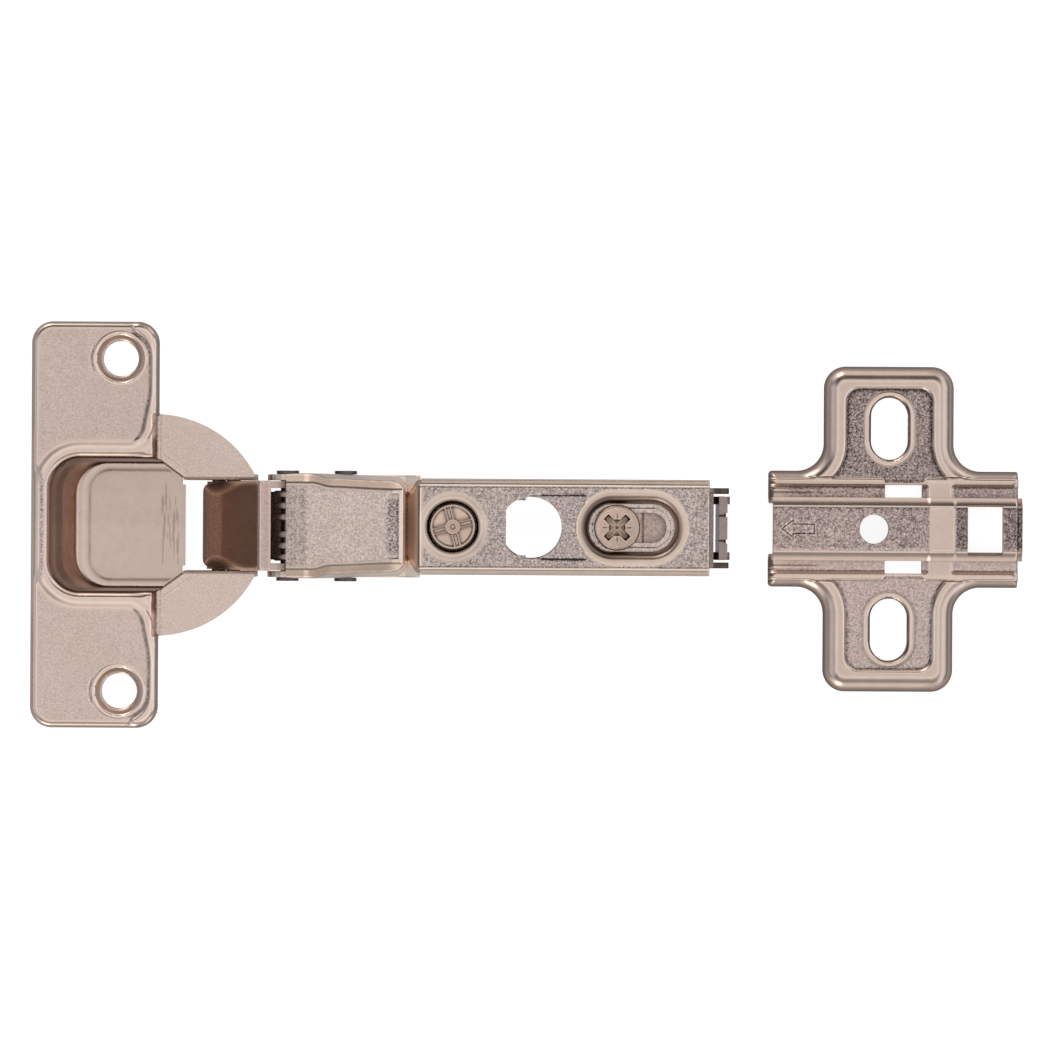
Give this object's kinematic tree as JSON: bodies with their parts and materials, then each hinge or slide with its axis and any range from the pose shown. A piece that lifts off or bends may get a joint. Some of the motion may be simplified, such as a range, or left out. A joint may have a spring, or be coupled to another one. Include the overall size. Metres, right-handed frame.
{
  "type": "concealed cup hinge",
  "caption": "Concealed cabinet hinge: round recessed cup with winged flange, folding double link, clip-on arm with side and depth adjusting screws, and a cross-shaped mounting plate.",
  "frame": {"origin": "midway between the two cup screw holes, on the face of the door under the flange", "axes": "+X from the cup along the arm to the mounting plate, +Y across the arm, +Z out of the door face; the hinge is open so that arm and flange are parallel"},
  "size_m": [0.1561, 0.0636, 0.0232],
  "materials": {
    "cup_plating": "bright nickel plating",
    "arm_plating": "satin nickel plating",
    "link_plating": "bright nickel plating",
    "plate_plating": "satin nickel plating",
    "carriage_plating": "nickel plating",
    "screw_plating": "nickel plating",
    "pin_steel": "nickel-plated steel",
    "spring_steel": "polished spring steel"
  },
  "bodies": {
    "carriage": {"clip_carriage": "carriage_plating", "lever_pin": "pin_steel", "lever_spring": "spring_steel", "mounting_plate": "plate_plating"},
    "clamp": {"depth_nut": "carriage_plating"},
    "depth_screw": {"depth_screw": "screw_plating"},
    "arm": {"hinge_arm": "arm_plating", "arm_front_pin": "pin_steel", "closing_spring": "spring_steel"},
    "overlay_screw": {"overlay_screw": "screw_plating"},
    "outer_link": {"outer_link": "link_plating"},
    "cup": {"hinge_cup": "cup_plating", "outer_cup_pin": "pin_steel", "inner_cup_pin": "pin_steel"},
    "inner_link": {"inner_link": "link_plating", "arm_rear_pin": "pin_steel"},
    "release_lever": {"release_lever": "carriage_plating"}
  },
  "joints": [
    {"name": "overlay_adjust", "type": "hinge", "parent": "carriage", "child": "clamp", "pos_m": [0.0775, 0, 0.006], "axis": [0, 1, 0], "range_deg": [-2, 2]},
    {"name": "depth_screw_turn", "type": "hinge", "parent": "clamp", "child": "depth_screw", "pos_m": [0.0775, 0, 0.006], "axis": [0, 0, 1], "range_deg": [0, 540]},
    {"name": "depth_adjust", "type": "slide", "parent": "clamp", "child": "arm", "axis": [-1, 0, 0], "range_m": [-0.0008, 0.005]},
    {"name": "overlay_screw_turn", "type": "hinge", "parent": "arm", "child": "overlay_screw", "pos_m": [0.0522, 0, 0.009], "axis": [0, 0, 1], "range_deg": [-400, 400]},
    {"name": "outer_link_swing", "type": "hinge", "parent": "arm", "child": "outer_link", "pos_m": [0.0265, 0, 0.0055], "axis": [0, -1, 0], "range_deg": [-1.41, 25.21]},
    {"name": "cup_swing", "type": "hinge", "parent": "outer_link", "child": "cup", "pos_m": [0.01485, 0, -0.00735], "axis": [0, 1, 0], "range_deg": [-6.4, 115.2]},
    {"name": "inner_link_swing", "type": "hinge", "parent": "cup", "child": "inner_link", "pos_m": [0.0173, 0, -0.00545], "axis": [0, 1, 0], "range_deg": [-120.79, 6.72]},
    {"name": "release_lever_swing", "type": "hinge", "parent": "carriage", "child": "release_lever", "pos_m": [0.0896, 0, 0.0032], "axis": [0, -1, 0], "range_deg": [0, 10], "stiffness_Nm_per_rad": 0.02, "springref_deg": -17.19}
  ],
  "couplings": [
    {"joint": "outer_link_swing", "follows": "cup_swing", "ratio": 0.21875},
    {"joint": "inner_link_swing", "follows": "cup_swing", "ratio": -1.0484},
    {"joint": "overlay_screw_turn", "follows": "overlay_adjust", "ratio": 199}
  ]
}
